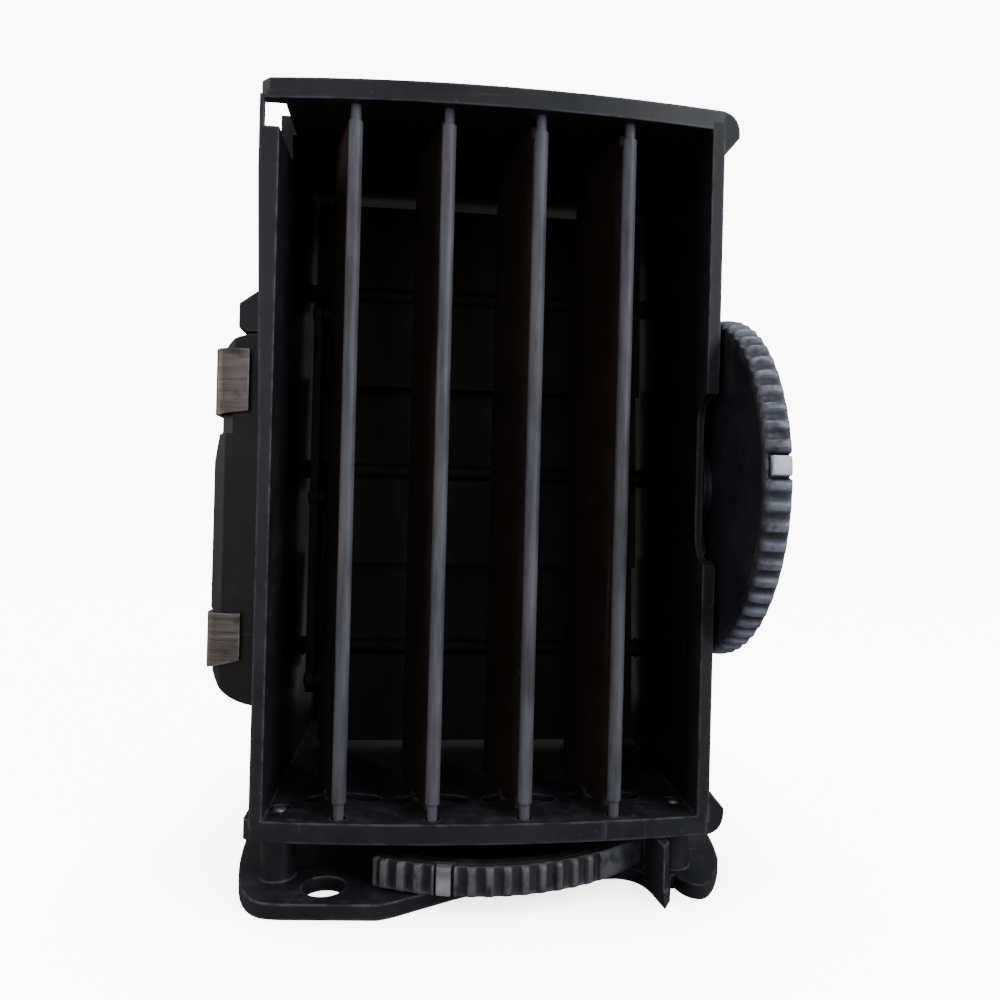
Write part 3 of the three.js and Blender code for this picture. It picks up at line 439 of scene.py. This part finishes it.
def zinc():
    """Bluish zinc plating with fine turning marks and dulled patches."""
    material, tree, shader = new_material("zinc_steel")
    patch = ramp(tree, noise(tree, 500.0, 5.0), 0.35, 0.7)
    plating = mix_colour(tree, patch, (0.16, 0.16, 0.17), (0.30, 0.30, 0.315))
    tree.links.new(plating, shader.inputs["Base Color"])
    tree.links.new(mix_value(tree, patch, 0.34, 0.58), shader.inputs["Roughness"])
    shader.inputs["Metallic"].default_value = 1.0
    bump = add_node(tree, "Bump", Strength=0.1, Distance=0.0001, Height=noise(tree, 3000.0, 2.0))
    tree.links.new(bump.outputs["Normal"], shader.inputs["Normal"])
    return material


zinc_steel = zinc()


def cross_screw(node, axis, outward, head, shank, countersunk, body="duct"):
    """A turned screw with a cross recess; axis is 0 or 2, outward is the side its head faces."""
    low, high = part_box(node)
    centre = [(low[k] + high[k]) / 2 for k in range(3)]
    face = high[axis] if outward > 0 else low[axis]
    length = high[axis] - low[axis]
    radius = (high[1] - low[1]) / 2
    rings_in_recess = 13
    crown = 0.16 * radius
    arm, reach, depth = 0.16 * radius, 0.66 * radius, 0.4 * radius
    profile = [(0.8 * radius * n / rings_in_recess, 0) for n in range(rings_in_recess + 1)]
    profile += [(0.9 * radius, 0.02), (0.97 * radius, 0.1), (radius, 0.25 if countersunk else 0.45)]
    if not countersunk:
        profile += [(radius, head - 0.08), (0.96 * radius, head)]
    tip = length / MM
    profile += [(shank, head), (shank, tip - 0.7), (0.93 * shank, tip - 0.4), (0.72 * shank, tip - 0.14)]
    profile += [(0.4 * shank, tip - 0.02), (0, tip)]
    rings = []
    sides = 56
    for n in range(sides):
        turn = math.tau * n / sides
        ring = []
        for r, down in profile:
            u, v = r * math.cos(turn), r * math.sin(turn)
            sunk = down * MM
            if down == 0:
                sunk += crown * (r / radius) ** 2
                near = min(abs(u), abs(v))
                across = max(0.0, min(1.0, (arm - near) / (0.35 * arm)))
                along = max(0.0, min(1.0, (reach - r) / (0.3 * reach)))
                sunk += depth * across * along
            elif down < head:
                sunk += crown * min(1, (r / radius) ** 2)
            point = [0.0, 0.0, 0.0]
            point[axis] = face - outward * sunk
            point[1] = centre[1] + u
            point[2 - axis] = centre[2 - axis] + v
            ring.append(point)
        rings.append(ring)
    screw = swept(f"{node}_turned", rings, zinc_steel, closed_rings=True, closed_loop=False, sharp=30)
    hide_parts(node)
    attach(screw, body)


for number in range(1, 5):
    cross_screw(f"bracket_screw_{number}", 2, -1, 1.2, 1.1 * MM, True)
for number in (1, 2):
    cross_screw(f"rail_screw_{number}", 0, -1, 1.3, 1.1 * MM, False)
cross_screw("wheel_screw", 0, 1, 1.2, 0.9 * MM, False)
for name in ("wheel_washer", "sector_pivot_pin", "sector_clip"):
    keep_node(name, zinc_steel, 0.08 * MM)

# ---- fins ---------------------------------------------------------------------------------------
# Four upright moulded fins that turn on thin necks. The round noses are grey, partly rubbed by fingers and
# air and partly a painted highlight; the blades' brown-black is partly a painted warm reflection, and brown
# dust clings to them.

# The blades' brown-black is partly the plastic's tint and partly a painted warm reflection.
FIN_BROWN_AND_WARM_REFLECTION = (0.026, 0.0130, 0.0122)
FIN_RUBBED = (0.10, 0.09, 0.095)
FIN_DUST = (0.060, 0.040, 0.034)


def fin_finish():
    """Brown-black plastic whose nose, the foremost 2 mm, is a soft grey: partly rubbing, partly a painted
    highlight.
    """
    material = plastic("fin_plastic", FIN_BROWN_AND_WARM_REFLECTION, FIN_RUBBED, FIN_DUST, rough=0.5, film=0.4)
    tree = material.node_tree
    shader = tree.nodes["Principled BSDF"]
    skin = shader.inputs["Base Color"].links[0].from_socket
    nose_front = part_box("fin_2")[0][1]
    here = add_node(tree, "TexCoord").outputs["Object"]
    depth = add_node(tree, "SeparateXYZ", Vector=here).outputs["Y"]
    # painted highlight: the nose grey stands for rubbing and for the light along the round noses
    nose_rub_and_highlight = maths(tree, "SUBTRACT", 1.0, ramp(tree, depth, nose_front + 1.3 * MM, nose_front + 2.5 * MM))
    streaks = ramp(tree, noise(tree, 700.0, 5.0, (1, 1, 0.12)), 0.22, 0.7)
    nose_grey_and_highlight = mix_colour(tree, streaks, (0.040, 0.040, 0.046), (0.108, 0.111, 0.128))
    tree.links.new(mix_colour(tree, nose_rub_and_highlight, skin, nose_grey_and_highlight), shader.inputs["Base Color"])
    return material


fin_plastic = fin_finish()
for number in range(1, 5):
    keep_node(f"fin_{number}", fin_plastic, 0.12 * MM)

# ---- link bars, vanes and vane gear -------------------------------------------------------------
# Working parts inside the duct and under its floor: thin dull mouldings that clip or slip onto one
# another's pins. They are less rubbed, and their black is darker than the housing's as painted shade.
# painted shade: a black darker than the housing's stands in for the shade inside and under the duct
HIDDEN_BLACK_PAINTED_SHADE = (0.0036, 0.0033, 0.0042)
HIDDEN_RUBBED = (0.02, 0.02, 0.024)
hidden_plastic_painted_shade = plastic(
    "hidden_plastic_painted_shade", HIDDEN_BLACK_PAINTED_SHADE, HIDDEN_RUBBED, HOUSE_DUST, rough=0.65, rub=0.4, film=0.12
)
for name in ("fin_link_bar", "vane_link_bar", "vane_gear"):
    keep_node(name, hidden_plastic_painted_shade, 0.1 * MM)
for name in ("rear_vane_top", "rear_vane_middle", "rear_vane_bottom"):
    keep_node(name, hidden_plastic_painted_shade, 0)

# ---- thumb sector -------------------------------------------------------------------------------
# Fan-shaped lever under the duct, moulded with a knurled rim that the thumb pushes sideways. Its
# rib crests are lightened, partly thumb polish and partly a painted highlight, and its right end is left
# plain.
KNURL_DEPTH = 0.75 * MM
BED = 1.3 * MM
MARK_SLOT = 1.25  # mm below the rim


def rim_polish_and_highlight_group():
    """Mask of the rib crests, for thumb polish and a painted highlight: 1 at the full radius from an axle, 0
    in the valleys.
    """
    group, start, end = node_group(
        "Rim polish and highlight",
        [
            ("Centre", "Vector", None),
            ("Across", "Vector", None),
            ("Radius", "Float", 0.02),
            ("Depth", "Float", 0.0006),
        ],
        [("Mask", "Float")],
    )
    here = add_node(group, "TexCoord").outputs["Object"]
    centre = start.outputs["Centre"]
    across = start.outputs["Across"]
    off = add_node(group, "VectorMath", {"operation": "SUBTRACT"}, i0=here, i1=centre).outputs[0]
    flat = add_node(group, "VectorMath", {"operation": "MULTIPLY"}, i0=off, i1=across).outputs[0]
    distance = add_node(group, "VectorMath", {"operation": "LENGTH"}, i0=flat).outputs["Value"]
    below = maths(group, "SUBTRACT", start.outputs["Radius"], distance)
    share = maths(group, "DIVIDE", below, start.outputs["Depth"])
    crest_polish_and_highlight = maths(group, "SUBTRACT", 1.0, ramp(group, share, 0.1, 1.0))
    patchy = ramp(group, noise(group, 500.0, 4.0), 0.2, 0.6)
    group.links.new(maths(group, "MULTIPLY", crest_polish_and_highlight, patchy, clamp=True), end.inputs["Mask"])
    return group


RIM_POLISH_AND_HIGHLIGHT = rim_polish_and_highlight_group()


def grip_finish(name, centre, across, radius, colour, crest_polish_and_highlight, strength):
    """Black plastic whose rib crests round one axle are lightened: thumb polish plus a painted highlight."""
    rubbed = (0.10, 0.105, 0.12)
    material = plastic(name, colour, rubbed, HOUSE_DUST, rough=0.42, rub=0.5, film=0.2, scuffs=0.2)
    tree = material.node_tree
    shader = tree.nodes["Principled BSDF"]
    skin = shader.inputs["Base Color"].links[0].from_socket
    gloss = shader.inputs["Roughness"].links[0].from_socket
    # painted highlight: the crests are lightened towards the crest colour, together with thumb polish
    polish_and_highlight = use_group(tree, RIM_POLISH_AND_HIGHLIGHT, Centre=centre, Across=across, Radius=radius, Depth=0.95 * MM)
    worn = maths(tree, "MULTIPLY", polish_and_highlight, strength)
    tree.links.new(mix_colour(tree, worn, skin, crest_polish_and_highlight), shader.inputs["Base Color"])
    tree.links.new(mix_value(tree, worn, gloss, 0.28), shader.inputs["Roughness"])
    return material


def shaved_copy(name, node, centre, plane, radius, material, body):
    """The moulding inside its knurled band: the CAD shape with its ribs taken down to the bed."""
    obj = bpy.data.objects.new(name, frame["nodes"][node].data.copy())
    bpy.context.collection.objects.link(obj)
    limit = radius - BED
    for vertex in obj.data.vertices:
        off = [vertex.co[k] - centre[k] for k in plane]
        distance = math.hypot(*off)
        if distance > limit:
            for k, value in zip(plane, off):
                vertex.co[k] = centre[k] + value * limit / distance
    dress(obj, material)
    ease_edges(obj, 0.1 * MM)
    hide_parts(node)
    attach(obj, body)
    return obj


def band_rings(spot, angles, section, radius, relief, mark):
    """Rings of a knurled band; relief is the cut at an angle, mark a slot's angle, half width and start."""
    mark_angle, mark_half, mark_start = mark
    rings = []
    for angle in angles:
        ring = []
        for along, drop, cut in section:
            r = radius - drop * MM - cut * KNURL_DEPTH * relief(angle)
            in_mark = abs(angle - mark_angle) < mark_half and along * MM > mark_start
            if in_mark and drop < MARK_SLOT:
                r = radius - MARK_SLOT * MM
            ring.append(spot(angle, r, along * MM))
        rings.append(ring)
    return rings


def mark_rings(spot, angle, half, start, width, radius):
    """A small curved insert with eased edges, standing in its slot in the band."""
    section = [(0, 1.2), (0, 0.3), (0.08, 0.12), (0.25, 0.05), (0.75, 0.05), (0.92, 0.12), (1, 0.3), (1, 1.2)]
    across = [(-1, 0.3), (-0.93, 0.1), (-0.75, 0.02), (-0.3, 0)]
    across += [(0.3, 0), (0.75, 0.02), (0.93, 0.1), (1, 0.3)]
    rings = []
    for share, lower in across:
        ring = []
        for along, drop in section:
            sunk = drop + (lower if drop < 1.2 else 0)
            ring.append(spot(angle + share * half, radius - sunk * MM, start + along * width))
        rings.append(ring)
    return rings


def rib_height(phase, low, high):
    """1 on a rib's crest and 0 in the valley, for a phase counted in ribs."""
    wave = (math.cos(math.tau * phase) - low) / (high - low)
    wave = max(0.0, min(1.0, wave))
    return wave * wave * (3 - 2 * wave)


def joint_place(name):
    return Vector(next(joint for joint in frame["joints"] if joint["name"] == name)["pos_m"])


SECTOR_RADIUS = 32.8 * MM
SECTOR_TURNED = -15 / 1.4
SECTOR_ENDS = (-17.3, 54.7)
SECTOR_KNURL_END = 39.0
SECTOR_PITCH = 4.2
SECTOR_FIRST_RIB = -16.3 + 0.42 * SECTOR_PITCH
SECTOR_MARK_HALF = 1 * MM
MARK_GAP = 0.3 * MM


def sector_relief(angle):
    if angle > SECTOR_KNURL_END or angle < SECTOR_ENDS[0] + 1:
        return 0.4
    return 1 - rib_height((angle - SECTOR_FIRST_RIB) / SECTOR_PITCH, -0.35, 0.75)


def thumb_sector():
    pivot = joint_place("sector_turn")
    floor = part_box("thumb_sector")[0][2]
    # the crest colour is thumb polish plus a painted highlight
    colour, crest_polish_and_highlight = (0.0105, 0.0095, 0.011), (0.115, 0.115, 0.130)
    material = grip_finish("sector_grip", pivot, (1, 1, 0), SECTOR_RADIUS, colour, crest_polish_and_highlight, 0.9)
    shaved_copy("thumb_sector_moulding", "thumb_sector", pivot, (0, 1), SECTOR_RADIUS, material, "sector")

    def spot(angle, r, along):
        turn = math.radians(angle + SECTOR_TURNED)
        return (pivot.x + r * math.sin(turn), pivot.y - r * math.cos(turn), floor + along)

    section = [(0, 0.45, 0.2), (0.25, 0.15, 0.7), (0.6, 0, 1), (1.6, 0, 1), (2.6, 0, 1), (3.3, 0, 1)]
    section += [(3.65, 0.15, 0.75), (3.9, 0.5, 0.25), (3.9, 1.3, 0), (0, 1.3, 0)]
    steps = round((SECTOR_ENDS[1] - SECTOR_ENDS[0]) / 0.3)
    angles = [SECTOR_ENDS[0] + (SECTOR_ENDS[1] - SECTOR_ENDS[0]) * n / steps for n in range(steps + 1)]
    half = math.degrees((SECTOR_MARK_HALF + MARK_GAP) / SECTOR_RADIUS)
    rings = band_rings(spot, angles, section, SECTOR_RADIUS, sector_relief, (0, half, -1))
    band = swept("thumb_sector_band", rings, material)
    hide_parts("thumb_sector")
    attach(band, "sector")
    half = math.degrees(SECTOR_MARK_HALF / SECTOR_RADIUS)
    rings = mark_rings(spot, 0, half, 0.1 * MM, 3.7 * MM, SECTOR_RADIUS)
    return swept("sector_mark_insert", rings, sector_mark_plastic)


def mark_finish(name, colour, grime, painted_shadow_heights=None):
    """Pale moulded insert, a little glossy, greyed at its corners and, if asked, darkened upward by a painted
    shadow between two heights.
    """
    material, tree, shader = new_material(name)
    smear = ramp(tree, noise(tree, 420.0, 6.0), 0.3, 0.75)
    body = mix_colour(tree, smear, colour, [c * grime for c in colour])
    corner = use_group(tree, RUBBED, Amount=0.6, Width=0.4 * MM)
    dirty = mix_colour(tree, corner, body, [c * 0.45 for c in colour])
    dirt = use_group(tree, DUST, Film=0.35, Specks=0.5)
    dust_and_painted_shadow = mix_colour(tree, dirt, dirty, (0.20, 0.18, 0.16))
    if painted_shadow_heights:
        # painted shadow: the insert darkens towards its top
        height = add_node(tree, "SeparateXYZ", Vector=place_of(tree)).outputs["Z"]
        dust_and_painted_shadow = mix_colour(tree, ramp(tree, height, *painted_shadow_heights), dust_and_painted_shadow, [c * 0.3 for c in colour])
    tree.links.new(dust_and_painted_shadow, shader.inputs["Base Color"])
    tree.links.new(mix_value(tree, smear, 0.28, 0.5), shader.inputs["Roughness"])
    bump = add_node(tree, "Bump", Strength=0.08, Distance=0.0002, Height=use_group(tree, GRAIN))
    tree.links.new(bump.outputs["Normal"], shader.inputs["Normal"])
    return material


# Heights over which the sector mark's painted shadow darkens its upper part
mark_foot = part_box("sector_index_mark")[0][2]
painted_shadow_top = (mark_foot + 1.3 * MM, mark_foot + 3.2 * MM)
sector_mark_plastic = mark_finish("sector_mark_plastic", (0.40, 0.40, 0.41), 0.6, painted_shadow_top)
sector_mark = thumb_sector()
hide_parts("sector_index_mark")
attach(sector_mark, "sector")

# ---- thumbwheel ---------------------------------------------------------------------------------
# Large moulded wheel on a stub axle beside the right wall, with a crowned knurled rim, a shallow
# dish outside and a gear segment inside. Half of its width at the front holds a pale insert.
WHEEL_RADIUS = 24.59 * MM
WHEEL_WIDTH = 3.4 * MM
WHEEL_RIBS = 60
WHEEL_MARK_LIFT = 5.6
WHEEL_MARK_HALF = 1.25 * MM


def wheel_relief(angle):
    return 1 - rib_height((angle - WHEEL_MARK_LIFT) * WHEEL_RIBS / 360, -0.75, 0.7)


def thumbwheel():
    axle = joint_place("wheel_turn")
    wall_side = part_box("thumbwheel")[1][0] - WHEEL_WIDTH
    # the bluish crest colour is thumb polish plus a painted highlight
    colour, crest_polish_and_highlight = (0.0095, 0.0100, 0.0145), (0.185, 0.200, 0.245)
    material = grip_finish("wheel_grip", axle, (0, 1, 1), WHEEL_RADIUS, colour, crest_polish_and_highlight, 0.95)
    shaved_copy("thumbwheel_moulding", "thumbwheel", axle, (1, 2), WHEEL_RADIUS, material, "wheel")

    def spot(angle, r, along):
        turn = math.radians(angle)
        return (wall_side + along, axle.y - r * math.cos(turn), axle.z + r * math.sin(turn))

    section = [(0, 1.2, 0), (0.1, 0.85, 0.1), (0.4, 0.5, 0.35), (0.8, 0.25, 0.7), (1.3, 0.08, 1), (1.9, 0, 1)]
    section += [(2.5, 0, 1), (2.95, 0.04, 0.8), (3.25, 0.14, 0.45), (3.4, 0.4, 0.1)]
    section += [(3.4, 1.3, 0), (0, 1.3, 0)]
    steps = WHEEL_RIBS * 12
    angles = [WHEEL_MARK_LIFT - 180 + 360 * n / steps for n in range(steps)]
    half = math.degrees((WHEEL_MARK_HALF + MARK_GAP) / WHEEL_RADIUS)
    rings = band_rings(spot, angles, section, WHEEL_RADIUS, wheel_relief, (WHEEL_MARK_LIFT, half, 0.7 * MM))
    band = swept("thumbwheel_band", rings, material, closed_rings=True)
    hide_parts("thumbwheel")
    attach(band, "wheel")
    half = math.degrees(WHEEL_MARK_HALF / WHEEL_RADIUS)
    rings = mark_rings(spot, WHEEL_MARK_LIFT, half, 0.95 * MM, 2.4 * MM, WHEEL_RADIUS)
    mark = swept("wheel_mark_insert", rings, mark_finish("wheel_mark_plastic", (0.72, 0.76, 0.84), 0.75))
    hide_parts("wheel_index_mark")
    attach(mark, "wheel")


thumbwheel()

# ---- floor, light and camera --------------------------------------------------------------------
# A pale seamless paper floor under large soft lamps: one above, one cool at the right, two weak fills.
# The camera stands level in front of the mouth, as a person looks at a vent in the hand.
FLOOR_GLOW = 9.5
BACKDROP_GLOW = 10.0
ROOM_LIGHT = 0.13
low, high = (Vector(corner) for corner in cad_box)
middle = (low + high) / 2


def seen_and_lit(tree, seen, lit):
    """Mixes two shaders: one that the camera sees, one that only lights and mirrors."""
    ray = add_node(tree, "LightPath").outputs["Is Camera Ray"]
    return add_node(tree, "MixShader", i0=ray, i1=lit, i2=seen).outputs[0]


def pale_floor():
    mesh = bpy.data.meshes.new("floor")
    half = 3.0
    corners = [(-half, -half, 0), (half, -half, 0), (half, half, 0), (-half, half, 0)]
    mesh.from_pydata(corners, [], [(0, 1, 2, 3)])
    floor = bpy.data.objects.new("floor", mesh)
    floor.location.z = low.z - 0.05 * MM
    bpy.context.collection.objects.link(floor)
    material, tree, shader = new_material("floor_paper")
    tone = mix_colour(tree, noise(tree, 12.0, 3.0), (0.86, 0.86, 0.86), (0.90, 0.90, 0.90))
    tree.links.new(tone, shader.inputs["Base Color"])
    shader.inputs["Roughness"].default_value = 0.95
    shader.inputs["Emission Color"].default_value = (1, 1, 1, 1)
    # painted contact shadow: the floor's glow is dimmed by ambient occlusion near the object
    near = add_node(tree, "AmbientOcclusion", {"samples": 8}, Distance=0.03).outputs["AO"]
    tree.links.new(mix_value(tree, near, 0.3 * FLOOR_GLOW, FLOOR_GLOW), shader.inputs["Emission Strength"])
    dim = add_node(tree, "BsdfDiffuse", Color=(0.20, 0.20, 0.20, 1)).outputs[0]
    surface = seen_and_lit(tree, shader.outputs[0], dim)
    tree.links.new(surface, tree.nodes["Material Output"].inputs["Surface"])
    mesh.materials.append(material)


def soft_light(name, place, size, watts, tint=(1, 1, 1)):
    lamp = bpy.data.lights.new(name, "AREA")
    lamp.shape = "RECTANGLE"
    lamp.size = size[0]
    lamp.size_y = size[1]
    lamp.energy = watts
    lamp.color = tint
    obj = bpy.data.objects.new(name, lamp)
    obj.location = place
    obj.rotation_euler = (middle - Vector(place)).to_track_quat("-Z", "Y").to_euler()
    bpy.context.collection.objects.link(obj)


pale_floor()
soft_light("top_softbox", (0.0, 0.05, 0.8), (0.8, 0.8), 5.0)
soft_light("right_window", (0.40, -0.42, 0.30), (0.30, 0.6), 3.6, (0.90, 0.94, 1.0))
soft_light("left_fill", (-0.6, -0.1, 0.25), (0.4, 0.5), 2.0, (1.0, 0.93, 0.92))
soft_light("front_fill", (-0.22, -0.75, 0.12), (0.5, 0.6), 1.8, (0.93, 0.93, 1.0))

world = bpy.data.worlds.new("studio")
world.use_nodes = True
sky = world.node_tree
room = sky.nodes["Background"]
room.inputs["Color"].default_value = (0.90, 0.95, 1.0, 1)
room.inputs["Strength"].default_value = ROOM_LIGHT
backdrop = add_node(sky, "Background", Color=(1, 1, 1, 1), Strength=BACKDROP_GLOW)
surface = seen_and_lit(sky, backdrop.outputs[0], room.outputs[0])
sky.links.new(surface, sky.nodes["World Output"].inputs["Surface"])
bpy.context.scene.world = world

CAMERA_PLACE = Vector((-8.52, -104.91, -4.83)) * MM
YAW, PITCH, ROLL = (math.radians(a) for a in (5.52, 0.15, 1.44))
FOCAL = 28.8


def photo_camera():
    forward = Vector((math.sin(YAW) * math.cos(PITCH), math.cos(YAW) * math.cos(PITCH), math.sin(PITCH)))
    side = Vector((math.cos(YAW), -math.sin(YAW), 0))
    up = side.cross(forward)
    right = math.cos(ROLL) * side + math.sin(ROLL) * up
    top = -math.sin(ROLL) * side + math.cos(ROLL) * up
    lens = bpy.data.cameras.new("camera")
    lens.lens = FOCAL
    lens.clip_start = 0.005
    obj = bpy.data.objects.new("camera", lens)
    turn = Matrix((right, top, -forward)).transposed().to_4x4()
    ends = [joint_place(f"fin_{n}_turn") for n in (1, 4)]
    mouth = (ends[0] + ends[1]) / 2 - Vector((0, 2.856 * MM, 0))
    obj.matrix_world = Matrix.Translation(mouth + CAMERA_PLACE) @ turn
    bpy.context.collection.objects.link(obj)
    bpy.context.scene.camera = obj


photo_camera()
